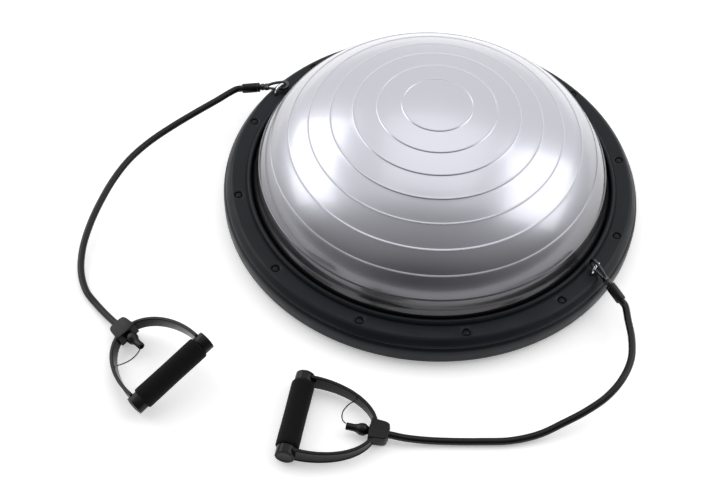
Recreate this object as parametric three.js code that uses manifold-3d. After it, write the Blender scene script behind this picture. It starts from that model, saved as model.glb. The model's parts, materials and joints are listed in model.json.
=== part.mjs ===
// Balance dome trainer: a round base with a clamped air dome, two clip-on resistance tubes and handles.
// Units are millimetres, +Z is up and the base stands on Z = 0. The two tube eyes lie on the X axis.
import * as THREE from 'three';
import Module from 'manifold-3d';
import { mergeVertices } from 'three/addons/utils/BufferGeometryUtils.js';

const wasm = await Module();
wasm.setup();

// ---------------------------------------------------------------- driving dimensions

const GAP = 0.3; // running gap between neighbouring pieces

// base
const BASE_RADIUS = 300;
const UNDERSIDE_Z = 8; // underside of the tray, above the floor
const TRAY_PLATE = 6; // thickness of the tray's flat plate
const CENTRE_PAD_RADIUS = 42; // the pad in the middle that stands on the floor
const PARTING_Z = 33; // where the ring meets the tray's outer wall
const SEAT_RADIUS = 264; // inner radius of the wall that carries the dome's edge
const SEAT_Z = 26;
const RING_TOP_Z = 46.5; // the ring's flat top
const RING_PLATE = 3;
const RING_BORE = 259.2;
const FASTENER_CIRCLE = 279; // radius of the circle that the screws and the eyes stand on
const SCREW_COUNT = 12;
const FOOT_COUNT = 6;
const FOOT_CIRCLE = 236;
const LARGE_FACETS = 40;
const HIDDEN_FACETS = 20;

// dome: an ellipsoid cap over a short neck that goes down through the ring
const DOME_TOP_Z = 200;
const DOME_WAIST_Z = 55.3; // where the side stands upright
const DOME_HALF_WIDTH = 251.6;
const DOME_FULLNESS = 1.036; // 1 is an ellipse, less is squarer
const DOME_NECK_RADIUS = 256;
const DOME_WALL = 3;
const DOME_END_ANGLE = THREE.MathUtils.degToRad(84.5); // where the curved cap meets the skirt
const DOME_FLANGE_Z = 28.6;
const DOME_FLANGE_RADIUS = 271.5;
const FLOOR_SHEET = 2; // thickness of the dome's floor sheet

// valve, on the underside
const VALVE_Y = 150;
const VALVE_HOLE_RADIUS = 9;
const VALVE_NECK_RADIUS = 8.4;
const VALVE_BORE_RADIUS = 4;

// eyes
const EYE_WIRE_RADIUS = 2.25;
const EYE_HALF_SPREAD = 9; // from the middle to a leg
const EYE_ARC_Z = 48.75;
const EYE_LEG_Z = 37;

// snap hook, in its own frame: X runs from the eye towards the tube, Y across the hook
const HOOK_WIRE_RADIUS = 2.25;
const HOOK_HALF_WIDTH = 6.9;
const HOOK_NOSE_X = -7; // centre of the nose's half circle
const HOOK_TIP_X = -1.5;
const GATE_PIN_X = 17;
const GATE_PIN_Y = 3.4;
const GATE_TIP_X = 0.9;
const GATE_TIP_Y = 6.7;
const GATE_THICKNESS = 2.6;
const COLLAR_X = 21.8;
const COLLAR_LENGTH = 6.5;
const COLLAR_RADIUS = 5.3;
const BARREL_LENGTH = 27;
const BARREL_RADIUS = 7.3;
const BARREL_POCKET = 6; // depth of the pocket that the tube goes into

// tube
const TUBE_RADIUS = 5;
const TUBE_SIDES = 8;

// handle, in its own frame: the grip lies on Y, X runs from the grip towards the hub
const GRIP_RADIUS = 15.6;
const GRIP_HALF_LENGTH = 51;
const CORE_RADIUS = 7;
const CORE_HALF_LENGTH = 62;
const SOCKET_RADIUS = 13.2; // the round socket at each end of the frame
const SOCKET_INNER_Y = 51.5;
const SOCKET_OUTER_Y = 65.5;
const ARM_HEIGHT = 16; // at the hub
const ARM_ROOT_HEIGHT = 24; // at the grip's sockets
const ARM_THICKNESS = 5;
const ARM_HALF_SPREAD = 58; // from the handle's middle plane to the middle of an arm
const ARM_STRAIGHT_X = 16; // where each arm starts to curve in to the hub
const ARM_END_X = 107.5; // the middle of the arms' curve, inside the hub
const HUB_INNER_X = 99;
const HUB_OUTER_X = 125;
const HUB_HEIGHT = 19;
const HUB_BORE_RADIUS = 5.5;
const TAIL_END_X = 68;
const TETHER_RADIUS = 0.8;

// ---------------------------------------------------------------- materials

const material = (color, roughness, metalness = 0) =>
  new THREE.MeshStandardMaterial({ color, roughness, metalness });

const charcoalPlastic = material(0x2d3035, 0.6);
const silverMembrane = material(0xb9b8c2, 0.3);
const floorSheet = material(0x8c8b93, 0.5);
const blackRubber = material(0x141416, 0.8);
const tubeRubber = material(0x0e0e10, 0.4);
const chromePlate = material(0xe6e8ea, 0.12, 1);
const zincPlate = material(0x9a9c9f, 0.4, 1);
const gunmetal = material(0x34363a, 0.35, 0.9);
const barrelPlastic = material(0x17181a, 0.45);
const handlePlastic = material(0x26282b, 0.45);
const foam = material(0x101012, 0.95);
const cordFabric = material(0x0c0c0d, 0.9);

// ---------------------------------------------------------------- solid modelling helpers

// Six times the signed volume of an indexed mesh: negative when its faces point in.
function signedVolume(points, triangles) {
  const corners = [new THREE.Vector3(), new THREE.Vector3(), new THREE.Vector3()];
  let volume = 0;
  for (let i = 0; i < triangles.length; i += 3) {
    corners.forEach((corner, k) => corner.fromArray(points, 3 * triangles[i + k]));
    volume += corners[0].dot(corners[1].cross(corners[2]));
  }
  return volume;
}

// Turns a closed three.js geometry into a manifold solid with its faces pointing out.
function solid(geometry) {
  const bare = geometry.clone();
  bare.deleteAttribute('normal');
  bare.deleteAttribute('uv');
  const merged = mergeVertices(bare, 1e-3);
  const points = merged.attributes.position.array;
  const triangles = [];
  const index = merged.index.array;
  for (let i = 0; i < index.length; i += 3) {
    const [a, b, c] = [index[i], index[i + 1], index[i + 2]];
    if (a !== b && b !== c && c !== a) triangles.push(a, b, c);
  }
  const outward = signedVolume(points, triangles) > 0 ? triangles : triangles.reverse();
  const mesh = new wasm.Mesh({
    numProp: 3,
    vertProperties: new Float32Array(points),
    triVerts: new Uint32Array(outward),
  });
  return new wasm.Manifold(mesh);
}

function geometryOf(body) {
  const mesh = body.getMesh();
  const geometry = new THREE.BufferGeometry();
  geometry.setAttribute('position', new THREE.BufferAttribute(mesh.vertProperties, 3));
  geometry.setIndex(new THREE.BufferAttribute(mesh.triVerts, 1));
  geometry.computeVertexNormals();
  return geometry;
}

const join = (first, ...others) => others.reduce((body, other) => body.add(other), first);
const cut = (first, ...others) => others.reduce((body, other) => body.subtract(other), first);

// A turned body about the Z axis, from [radius, height] points. Profiles off the axis close on themselves.
function turned(profile, facets) {
  const points = profile.map(([radius, height]) => new THREE.Vector2(radius, height));
  const first = points[0];
  const last = points[points.length - 1];
  const onAxis = first.x === 0 && last.x === 0;
  if (!onAxis) points.push(first.clone());
  const geometry = new THREE.LatheGeometry(points, facets);
  geometry.rotateX(Math.PI / 2);
  return solid(geometry);
}

// A cylinder along Z between two heights.
function rod(radius, low, high, facets = 12, x = 0, y = 0) {
  const geometry = new THREE.CylinderGeometry(radius, radius, high - low, facets);
  geometry.rotateX(Math.PI / 2);
  geometry.translate(x, y, (low + high) / 2);
  return solid(geometry);
}

function block(x0, x1, y0, y1, z0, z1) {
  const geometry = new THREE.BoxGeometry(x1 - x0, y1 - y0, z1 - z0);
  geometry.translate((x0 + x1) / 2, (y0 + y1) / 2, (z0 + z1) / 2);
  return solid(geometry);
}

// A plate of an XY outline, centred on Z = 0.
function plate(outline, thickness, curveSegments = 8) {
  const settings = { depth: thickness, bevelEnabled: false, curveSegments };
  const geometry = new THREE.ExtrudeGeometry(outline, settings);
  geometry.translate(0, 0, -thickness / 2);
  return solid(geometry);
}

// A round bar swept along a curve.
function bar(curve, radius, sides, steps) {
  const section = new THREE.Shape();
  for (let i = 0; i < sides; i += 1) {
    const angle = (2 * Math.PI * i) / sides;
    const point = new THREE.Vector2(radius * Math.cos(angle), radius * Math.sin(angle));
    if (i === 0) section.moveTo(point.x, point.y);
    else section.lineTo(point.x, point.y);
  }
  section.closePath();
  const settings = { steps, bevelEnabled: false, extrudePath: curve };
  return solid(new THREE.ExtrudeGeometry(section, settings));
}

const alongX = (body) => body.rotate([0, 90, 0]);
const alongY = (body) => body.rotate([-90, 0, 0]);

function addPiece(group, name, body, finish) {
  const mesh = new THREE.Mesh(geometryOf(body), finish);
  mesh.name = name;
  group.add(mesh);
  return mesh;
}

// Runs a callback at evenly spaced places on a circle.
function around(count, radius, startAngle, place) {
  for (let i = 0; i < count; i += 1) {
    const angle = startAngle + (2 * Math.PI * i) / count;
    place(radius * Math.cos(angle), radius * Math.sin(angle), i + 1);
  }
}

const twoDigits = (number) => String(number).padStart(2, '0');

const trainer = new THREE.Group();
trainer.name = 'balance_dome_trainer';

// ---------------------------------------------------------------- base tray

const PLATE_TOP_Z = UNDERSIDE_Z + TRAY_PLATE;
const SCREW_START_ANGLE = Math.PI / SCREW_COUNT;
const BOSS_RADIUS = 7;
const BOSS_TOP_Z = 30;
const PILOT_RADIUS = 2.3;
const PILOT_BOTTOM_Z = 17;
const FOOT_SOCKET_RADIUS = 4.3;
const FOOT_SOCKET_DEPTH = 4.5;
const FOOT_STUD_RADIUS = 3.6;
const RIM_LIP_Z = 4; // the outer wall's lower edge, below the underside

function baseTray() {
  const outerWall = [
    [284, UNDERSIDE_Z],
    [286.5, RIM_LIP_Z],
    [296, RIM_LIP_Z],
    [299.4, 8.5],
    [BASE_RADIUS, 24],
    [299, 30],
    [296, PARTING_Z],
    [290.6, PARTING_Z],
    [294.6, 28],
    [295.8, 24],
    [293, PLATE_TOP_Z],
  ];
  const seatWall = [
    [SEAT_RADIUS + 4, PLATE_TOP_Z],
    [SEAT_RADIUS + 4, SEAT_Z],
    [SEAT_RADIUS, SEAT_Z],
    [SEAT_RADIUS, PLATE_TOP_Z],
  ];
  const pad = [
    [0, 0],
    [CENTRE_PAD_RADIUS, 0],
    [CENTRE_PAD_RADIUS + 3, UNDERSIDE_Z],
  ];
  let body = turned([...pad, ...outerWall, ...seatWall, [0, PLATE_TOP_Z]], LARGE_FACETS);
  around(SCREW_COUNT, FASTENER_CIRCLE, SCREW_START_ANGLE, (x, y) => {
    const boss = rod(BOSS_RADIUS, PLATE_TOP_Z - 1, BOSS_TOP_Z, 8, x, y);
    const pilot = rod(PILOT_RADIUS, PILOT_BOTTOM_Z, BOSS_TOP_Z + 1, 6, x, y);
    body = cut(join(body, boss), pilot);
  });
  around(FOOT_COUNT, FOOT_CIRCLE, Math.PI / 2, (x, y) => {
    const bottom = UNDERSIDE_Z - 1;
    const socket = rod(FOOT_SOCKET_RADIUS, bottom, UNDERSIDE_Z + FOOT_SOCKET_DEPTH, 8, x, y);
    body = cut(body, socket);
  });
  return cut(body, rod(VALVE_HOLE_RADIUS, UNDERSIDE_Z - 1, PLATE_TOP_Z + 1, 12, 0, VALVE_Y));
}

addPiece(trainer, 'base_tray', baseTray(), charcoalPlastic);

const footProfile = [
  [0, 0],
  [15, 0],
  [17, 2],
  [17, UNDERSIDE_Z - GAP],
  [FOOT_STUD_RADIUS, UNDERSIDE_Z - GAP],
  [FOOT_STUD_RADIUS, UNDERSIDE_Z + FOOT_SOCKET_DEPTH - 0.5],
  [0, UNDERSIDE_Z + FOOT_SOCKET_DEPTH - 0.5],
];

around(FOOT_COUNT, FOOT_CIRCLE, Math.PI / 2, (x, y, number) => {
  const foot = addPiece(trainer, `foot_${twoDigits(number)}`, turned(footProfile, 10), blackRubber);
  foot.position.set(x, y, 0);
});

// ---------------------------------------------------------------- clamp ring

const COUNTERBORE_RADIUS = 6;
const COUNTERBORE_Z = 42.9;
const RING_PRESS_Z = 31.9;

function clampRing() {
  const underPlate = RING_TOP_Z - RING_PLATE;
  const profile = [
    [292, PARTING_Z + GAP],
    [296.2, PARTING_Z + GAP],
    [296.3, 35],
    [289.8, 45],
    [286.6, RING_TOP_Z],
    [267.6, RING_TOP_Z],
    [266.6, RING_TOP_Z - 0.8],
    [265.4, 51.4],
    [263.6, 52.6],
    [260.6, 52.2],
    [RING_BORE, 49.5],
    [RING_BORE, RING_PRESS_Z],
    [266.5, RING_PRESS_Z],
    [268, underPlate],
    [286, underPlate],
  ];
  let body = turned(profile, LARGE_FACETS);
  around(SCREW_COUNT, FASTENER_CIRCLE, SCREW_START_ANGLE, (x, y) => {
    const boss = rod(BOSS_RADIUS, BOSS_TOP_Z + GAP, RING_TOP_Z - 1, 8, x, y);
    const bore = rod(PILOT_RADIUS + 0.1, BOSS_TOP_Z - 1, RING_TOP_Z + 1, 6, x, y);
    const counterbore = rod(COUNTERBORE_RADIUS, COUNTERBORE_Z, RING_TOP_Z + 1, 10, x, y);
    body = cut(join(body, boss), bore, counterbore);
  });
  for (const x of [-FASTENER_CIRCLE, FASTENER_CIRCLE]) {
    for (const y of [-EYE_HALF_SPREAD, EYE_HALF_SPREAD]) {
      const hole = rod(EYE_WIRE_RADIUS + 0.45, underPlate - 1, RING_TOP_Z + 1, 8, x, y);
      body = cut(body, hole);
    }
  }
  return body;
}

addPiece(trainer, 'clamp_ring', clampRing(), charcoalPlastic);

const SCREW_SHANK_RADIUS = 1.9;
const screwProfile = [
  [0, PILOT_BOTTOM_Z + 2],
  [SCREW_SHANK_RADIUS, PILOT_BOTTOM_Z + 2],
  [SCREW_SHANK_RADIUS, COUNTERBORE_Z + GAP],
  [5, COUNTERBORE_Z + GAP],
  [5, COUNTERBORE_Z + 1.6],
  [3.4, COUNTERBORE_Z + 2.9],
  [0, COUNTERBORE_Z + 3.3],
];

around(SCREW_COUNT, FASTENER_CIRCLE, SCREW_START_ANGLE, (x, y, number) => {
  const name = `rim_screw_${twoDigits(number)}`;
  const screw = addPiece(trainer, name, turned(screwProfile, 6), blackRubber);
  screw.position.set(x, y, 0);
});

// ---------------------------------------------------------------- dome and its floor sheet

// Points of the curved cap from its top to its edge, a wall's thickness further in.
function domeCap(inset, steps) {
  const halfWidth = DOME_HALF_WIDTH - inset;
  const halfHeight = DOME_TOP_Z - DOME_WAIST_Z - inset;
  return Array.from({ length: steps + 1 }, (_, i) => {
    const angle = (DOME_END_ANGLE * i) / steps;
    const radius = halfWidth * Math.sin(angle) ** DOME_FULLNESS;
    return [radius, DOME_WAIST_Z + halfHeight * Math.cos(angle) ** DOME_FULLNESS];
  });
}

const domeProfile = [
  ...domeCap(DOME_WALL, 6),
  [249.2, 60],
  [252.6, 52.5],
  [DOME_NECK_RADIUS - DOME_WALL, 48],
  [DOME_NECK_RADIUS - DOME_WALL, DOME_FLANGE_Z],
  [DOME_FLANGE_RADIUS, DOME_FLANGE_Z],
  [DOME_FLANGE_RADIUS, DOME_FLANGE_Z + DOME_WALL],
  [DOME_NECK_RADIUS, DOME_FLANGE_Z + DOME_WALL],
  [DOME_NECK_RADIUS, 46],
  [256.4, 50],
  [255.2, 53.8],
  [252.4, 60],
  ...domeCap(0, 11).reverse(),
];
addPiece(trainer, 'dome', turned(domeProfile, LARGE_FACETS), silverMembrane);

const sheetLow = PLATE_TOP_Z + GAP;
const sheetHigh = SEAT_Z + GAP;
const floorSheetProfile = [
  [0, sheetLow],
  [251, sheetLow],
  [SEAT_RADIUS - 2, sheetHigh],
  [DOME_FLANGE_RADIUS - 0.5, sheetHigh],
  [DOME_FLANGE_RADIUS - 0.5, sheetHigh + FLOOR_SHEET],
  [SEAT_RADIUS - 3, sheetHigh + FLOOR_SHEET],
  [250, sheetLow + FLOOR_SHEET],
  [0, sheetLow + FLOOR_SHEET],
];
const floorSheetBody = cut(
  turned(floorSheetProfile, HIDDEN_FACETS),
  rod(VALVE_HOLE_RADIUS, PLATE_TOP_Z - 1, PLATE_TOP_Z + 5, 12, 0, VALVE_Y),
);
addPiece(trainer, 'dome_floor_sheet', floorSheetBody, floorSheet);

// ---------------------------------------------------------------- valve

const SEAT_FLANGE_LOW_Z = 6;
const valveSeatProfile = [
  [VALVE_BORE_RADIUS, SEAT_FLANGE_LOW_Z],
  [12, SEAT_FLANGE_LOW_Z],
  [12, UNDERSIDE_Z - GAP],
  [VALVE_NECK_RADIUS, UNDERSIDE_Z - GAP],
  [VALVE_NECK_RADIUS, sheetLow + FLOOR_SHEET + GAP],
  [12, sheetLow + FLOOR_SHEET + GAP],
  [11, sheetLow + FLOOR_SHEET + 2],
  [VALVE_BORE_RADIUS, sheetLow + FLOOR_SHEET + 2],
];
const valvePlugProfile = [
  [0, 2],
  [7, 2],
  [8.5, 3.4],
  [8.5, SEAT_FLANGE_LOW_Z - GAP],
  [VALVE_BORE_RADIUS - GAP, SEAT_FLANGE_LOW_Z - GAP],
  [VALVE_BORE_RADIUS - GAP - 0.6, 17],
  [0, 17],
];
const valveSeat = addPiece(trainer, 'valve_seat', turned(valveSeatProfile, 12), blackRubber);
const valvePlug = addPiece(trainer, 'valve_plug', turned(valvePlugProfile, 12), tubeRubber);
valveSeat.position.y = VALVE_Y;
valvePlug.position.y = VALVE_Y;

// ---------------------------------------------------------------- eyes on the ring

function eyeLoop() {
  const points = [new THREE.Vector3(0, -EYE_HALF_SPREAD, EYE_LEG_Z)];
  const arcSteps = 8;
  for (let i = 0; i <= arcSteps; i += 1) {
    const angle = Math.PI * (1 - i / arcSteps);
    const y = EYE_HALF_SPREAD * Math.cos(angle);
    points.push(new THREE.Vector3(0, y, EYE_ARC_Z + EYE_HALF_SPREAD * Math.sin(angle)));
  }
  points.push(new THREE.Vector3(0, EYE_HALF_SPREAD, EYE_LEG_Z));
  const path = new THREE.CurvePath();
  for (let i = 1; i < points.length; i += 1) {
    path.add(new THREE.LineCurve3(points[i - 1], points[i]));
  }
  return bar(path, EYE_WIRE_RADIUS, 8, 18);
}

const NUT_RADIUS = 4.4;
const NUT_HEIGHT = 3.4;

function hexNut() {
  const top = RING_TOP_Z - RING_PLATE - GAP;
  const hexagon = rod(NUT_RADIUS, top - NUT_HEIGHT, top, 6);
  return cut(hexagon, rod(EYE_WIRE_RADIUS + 0.45, top - NUT_HEIGHT - 1, top + 1, 8));
}

function addEye(side, x) {
  const eye = addPiece(trainer, `${side}_eye`, eyeLoop(), chromePlate);
  eye.position.x = x;
  const nutPlaces = { a: EYE_HALF_SPREAD, b: -EYE_HALF_SPREAD };
  for (const [letter, y] of Object.entries(nutPlaces)) {
    const nut = addPiece(trainer, `${side}_eye_nut_${letter}`, hexNut(), zincPlate);
    nut.position.set(x, y, 0);
  }
}

addEye('left', -FASTENER_CIRCLE);
addEye('right', FASTENER_CIRCLE);

// ---------------------------------------------------------------- snap hook with its barrel

function hookBody() {
  const noseSteps = 6;
  const points = [new THREE.Vector3(HOOK_TIP_X, HOOK_HALF_WIDTH, 0)];
  for (let i = 0; i <= noseSteps; i += 1) {
    const angle = Math.PI / 2 + (Math.PI * i) / noseSteps;
    const x = HOOK_NOSE_X + HOOK_HALF_WIDTH * Math.cos(angle);
    points.push(new THREE.Vector3(x, HOOK_HALF_WIDTH * Math.sin(angle), 0));
  }
  points.push(new THREE.Vector3(2, -HOOK_HALF_WIDTH, 0));
  points.push(new THREE.Vector3(11, -5.2, 0));
  points.push(new THREE.Vector3(17, -2.8, 0));
  const wire = bar(new THREE.CatmullRomCurve3(points), HOOK_WIRE_RADIUS, 8, 22);
  const root = block(15, COLLAR_X - GAP, -4.4, 5.4, -3.2, 3.2);
  const gateSlot = block(14, 19.6, 1, 6, -GATE_THICKNESS / 2 - GAP, GATE_THICKNESS / 2 + GAP);
  const pinHole = rod(1.25, -5, 5, 8, GATE_PIN_X, GATE_PIN_Y);
  return cut(join(wire, root), gateSlot, pinHole);
}

function hookGate() {
  const tipRadius = 1.2;
  const pinEndRadius = 1.9;
  const lean = Math.atan2(GATE_PIN_Y - GATE_TIP_Y, GATE_PIN_X - GATE_TIP_X);
  const outline = new THREE.Shape();
  const quarter = Math.PI / 2;
  outline.absarc(GATE_PIN_X, GATE_PIN_Y, pinEndRadius, lean - quarter, lean + quarter, false);
  outline.absarc(GATE_TIP_X, GATE_TIP_Y, tipRadius, lean + quarter, lean + 3 * quarter, false);
  outline.closePath();
  const pinHole = rod(1.25, -5, 5, 8, GATE_PIN_X, GATE_PIN_Y);
  return cut(plate(outline, GATE_THICKNESS, 6), pinHole);
}

const BARREL_X = COLLAR_X + COLLAR_LENGTH + GAP;
const BARREL_END_X = BARREL_X + BARREL_LENGTH;

const collarProfile = [
  [0, COLLAR_X],
  [COLLAR_RADIUS - 0.8, COLLAR_X],
  [COLLAR_RADIUS, COLLAR_X + 0.8],
  [COLLAR_RADIUS, COLLAR_X + COLLAR_LENGTH - 2],
  [COLLAR_RADIUS - 1, COLLAR_X + COLLAR_LENGTH - 1],
  [COLLAR_RADIUS - 1, COLLAR_X + COLLAR_LENGTH],
  [0, COLLAR_X + COLLAR_LENGTH],
];
const barrelProfile = [
  [0, BARREL_X],
  [BARREL_RADIUS - 1, BARREL_X],
  [BARREL_RADIUS, BARREL_X + 1],
  [BARREL_RADIUS, BARREL_END_X - 1],
  [BARREL_RADIUS - 1, BARREL_END_X],
  [TUBE_RADIUS + 0.6, BARREL_END_X],
  [TUBE_RADIUS + 0.6, BARREL_END_X - BARREL_POCKET],
  [0, BARREL_END_X - BARREL_POCKET],
];

// A clip's group stands at the hook's middle line. Heading turns it about Z, droop lowers its tube end,
// and roll turns the hook about its own length.
function addClip(side, { pivot, pivotX, heading, droop, roll }) {
  const clip = new THREE.Group();
  clip.rotation.set(roll, droop, heading, 'ZYX');
  const offset = new THREE.Vector3(-pivotX, -HOOK_HALF_WIDTH, 0).applyEuler(clip.rotation);
  clip.position.copy(pivot).add(offset);
  addPiece(clip, `${side}_hook`, hookBody(), gunmetal);
  addPiece(clip, `${side}_hook_gate`, hookGate(), gunmetal);
  addPiece(clip, `${side}_gate_pin`, rod(0.9, -3.4, 3.4, 8, GATE_PIN_X, GATE_PIN_Y), zincPlate);
  addPiece(clip, `${side}_collar`, alongX(turned(collarProfile, 12)), gunmetal);
  addPiece(clip, `${side}_barrel`, alongX(turned(barrelProfile, 16)), barrelPlastic);
  trainer.add(clip);
  clip.updateMatrixWorld();
  return clip;
}

const degrees = THREE.MathUtils.degToRad;
const leftClip = addClip('left', {
  pivot: new THREE.Vector3(-FASTENER_CIRCLE, 0, 51.2),
  pivotX: -1.5,
  heading: degrees(217),
  droop: degrees(8),
  roll: 0,
});
const rightClip = addClip('right', {
  pivot: new THREE.Vector3(FASTENER_CIRCLE, -2.3, 51.8),
  pivotX: -2.1,
  heading: degrees(-16.5),
  droop: degrees(18),
  roll: degrees(-90),
});

// ---------------------------------------------------------------- handle

const SOCKET_BORE_RADIUS = CORE_RADIUS + 0.4;
const CAP_RADIUS = 10.7;
const CAP_DEPTH = 3;

// The frame's two arms: a flat U that curves in to the hub.
function armsOutline() {
  const outer = ARM_HALF_SPREAD + ARM_THICKNESS / 2;
  const inner = ARM_HALF_SPREAD - ARM_THICKNESS / 2;
  const outerReach = ARM_END_X - ARM_STRAIGHT_X + ARM_THICKNESS / 2;
  const innerReach = outerReach - ARM_THICKNESS;
  const start = SOCKET_BORE_RADIUS + 1;
  const quarter = Math.PI / 2;
  const outline = new THREE.Shape();
  outline.moveTo(start, -outer);
  outline.lineTo(ARM_STRAIGHT_X, -outer);
  outline.absellipse(ARM_STRAIGHT_X, 0, outerReach, outer, -quarter, quarter, false, 0);
  outline.lineTo(start, outer);
  outline.lineTo(start, inner);
  outline.lineTo(ARM_STRAIGHT_X, inner);
  outline.absellipse(ARM_STRAIGHT_X, 0, innerReach, inner, quarter, -quarter, true, 0);
  outline.lineTo(start, -inner);
  outline.closePath();
  return outline;
}

function hubOutline() {
  const outline = new THREE.Shape();
  outline.moveTo(HUB_INNER_X, -15.5);
  outline.lineTo(HUB_OUTER_X - 7, -14);
  outline.quadraticCurveTo(HUB_OUTER_X, -12, HUB_OUTER_X, -6);
  outline.lineTo(HUB_OUTER_X, 6);
  outline.quadraticCurveTo(HUB_OUTER_X, 12, HUB_OUTER_X - 7, 14);
  outline.lineTo(HUB_INNER_X, 15.5);
  outline.closePath();
  return outline;
}

// The arms' plate, thinned evenly on both faces from the sockets to the hub.
function armsPlate() {
  const run = ARM_END_X - ARM_STRAIGHT_X;
  const slope = THREE.MathUtils.radToDeg(Math.atan2((ARM_ROOT_HEIGHT - ARM_HEIGHT) / 2, run));
  const reach = 2 * ARM_END_X;
  const tool = () => block(-reach, reach, -reach, reach, 0, ARM_ROOT_HEIGHT);
  const top = tool().rotate([0, slope, 0]).translate([ARM_STRAIGHT_X, 0, ARM_ROOT_HEIGHT / 2]);
  return cut(plate(armsOutline(), ARM_ROOT_HEIGHT, 18), top, top.mirror([0, 0, 1]));
}

function handleFrame() {
  const barrel = alongX(rod(9.6, HUB_INNER_X - 0.5, HUB_OUTER_X + 0.5, 16));
  let body = join(armsPlate(), plate(hubOutline(), HUB_HEIGHT, 4), barrel);
  body = cut(body, alongX(rod(HUB_BORE_RADIUS, HUB_INNER_X - 5, HUB_OUTER_X + 5, 16)));
  for (const end of [1, -1]) {
    const low = Math.min(end * SOCKET_INNER_Y, end * SOCKET_OUTER_Y);
    const high = Math.max(end * SOCKET_INNER_Y, end * SOCKET_OUTER_Y);
    const socket = alongY(rod(SOCKET_RADIUS, low, high, 16));
    const bore = alongY(rod(SOCKET_BORE_RADIUS, low - 1, high + 1, 12));
    const face = end * SOCKET_OUTER_Y;
    const capSeat = alongY(rod(CAP_RADIUS + GAP, face - CAP_DEPTH, face + CAP_DEPTH, 16));
    body = cut(join(body, socket), bore, capSeat);
  }
  return body;
}

function ringBar(outerRadius, innerRadius, halfLength, chamfer, facets) {
  const profile = [
    [innerRadius, -halfLength],
    [outerRadius - chamfer, -halfLength],
    [outerRadius, -halfLength + chamfer],
    [outerRadius, halfLength - chamfer],
    [outerRadius - chamfer, halfLength],
    [innerRadius, halfLength],
  ];
  return alongY(turned(profile, facets));
}

function endCap(end) {
  const seat = SOCKET_OUTER_Y - CAP_DEPTH + GAP;
  const profile = [
    [0, seat],
    [CAP_RADIUS, seat],
    [CAP_RADIUS, SOCKET_OUTER_Y - 0.6],
    [CAP_RADIUS - 1, SOCKET_OUTER_Y + 0.2],
    [0, SOCKET_OUTER_Y + 0.2],
  ];
  const cap = alongY(turned(profile, 16));
  return end > 0 ? cap : cap.rotate([0, 0, 180]);
}

// The tube's end inside the handle: it swells over a ball that can't pass the hub, then ends open.
const BULGE_X = HUB_INNER_X - GAP;
const BALL_X = BULGE_X - 8.5;
const BALL_RADIUS = 5.4;
const tubeEndProfile = [
  [0, BULGE_X - GAP],
  [TUBE_RADIUS, BULGE_X - GAP],
  [TUBE_RADIUS + 1, BULGE_X - 2.5],
  [8.3, BALL_X + 2.6],
  [8.3, BALL_X - 2.6],
  [TUBE_RADIUS + 0.6, BALL_X - 8],
  [TUBE_RADIUS, BALL_X - 11],
  [TUBE_RADIUS, TAIL_END_X],
  [2.6, TAIL_END_X],
  [2.6, BALL_X - 8],
  [BALL_RADIUS + GAP + 0.2, BALL_X - 3.2],
  [BALL_RADIUS + GAP + 0.2, BALL_X + 3.2],
  [2.8, BALL_X + 6],
  [0, BALL_X + 6.1],
];

// A short cord runs from the tube's tail to the frame's arm, so that a slipped tube stays with its handle.
const tetherStart = [TAIL_END_X - 1.2, 3.8, 0];
const tetherEnd = [72.5, 41.2, 0];
const leftTetherRoute = [
  tetherStart,
  [65.2, 9.5, -1],
  [65, 17, -2],
  [66, 25, -2],
  [68.6, 33.5, -1],
  tetherEnd,
];
const rightTetherRoute = [
  tetherStart,
  [62, 8.5, -1],
  [59.8, 15, -2],
  [59.8, 22.5, -2],
  [62.6, 30.5, -2],
  [67, 37, -1],
  tetherEnd,
];

function ball() {
  return solid(new THREE.SphereGeometry(BALL_RADIUS, 8, 6)).translate([BALL_X, 0, 0]);
}

// Heading turns a handle about Z, tilt lowers its hub and roll lowers the end of its grip.
function addHandle(side, tetherRoute, { centre, heading, tilt, roll }) {
  const handle = new THREE.Group();
  handle.position.copy(centre);
  handle.rotation.set(roll, tilt, heading, 'ZYX');
  const tetherPoints = tetherRoute.map((point) => new THREE.Vector3(...point));
  const tether = bar(new THREE.CatmullRomCurve3(tetherPoints), TETHER_RADIUS, 6, 10);
  addPiece(handle, `${side}_handle_frame`, handleFrame(), handlePlastic);
  addPiece(handle, `${side}_grip_core`, ringBar(CORE_RADIUS, 5, CORE_HALF_LENGTH, 0.5, 12), handlePlastic);
  const sleeve = ringBar(GRIP_RADIUS, CORE_RADIUS + 0.45, GRIP_HALF_LENGTH, 1.5, 16);
  addPiece(handle, `${side}_grip_foam`, sleeve, foam);
  addPiece(handle, `${side}_end_cap_a`, endCap(1), handlePlastic);
  addPiece(handle, `${side}_end_cap_b`, endCap(-1), handlePlastic);
  addPiece(handle, `${side}_tube_end`, alongX(turned(tubeEndProfile, 10)), tubeRubber);
  addPiece(handle, `${side}_stopper_ball`, ball(), zincPlate);
  addPiece(handle, `${side}_tether`, tether, cordFabric);
  trainer.add(handle);
  handle.updateMatrixWorld();
  return handle;
}

const leftHandle = addHandle('left', leftTetherRoute, {
  centre: new THREE.Vector3(-76.6, -486.2, 36.6),
  heading: degrees(167.2),
  tilt: degrees(11),
  roll: degrees(-14.5),
});
const rightHandle = addHandle('right', rightTetherRoute, {
  centre: new THREE.Vector3(86.1, -427.9, 16),
  heading: degrees(25.8),
  tilt: degrees(2.6),
  roll: 0,
});

// ---------------------------------------------------------------- tubes

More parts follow.
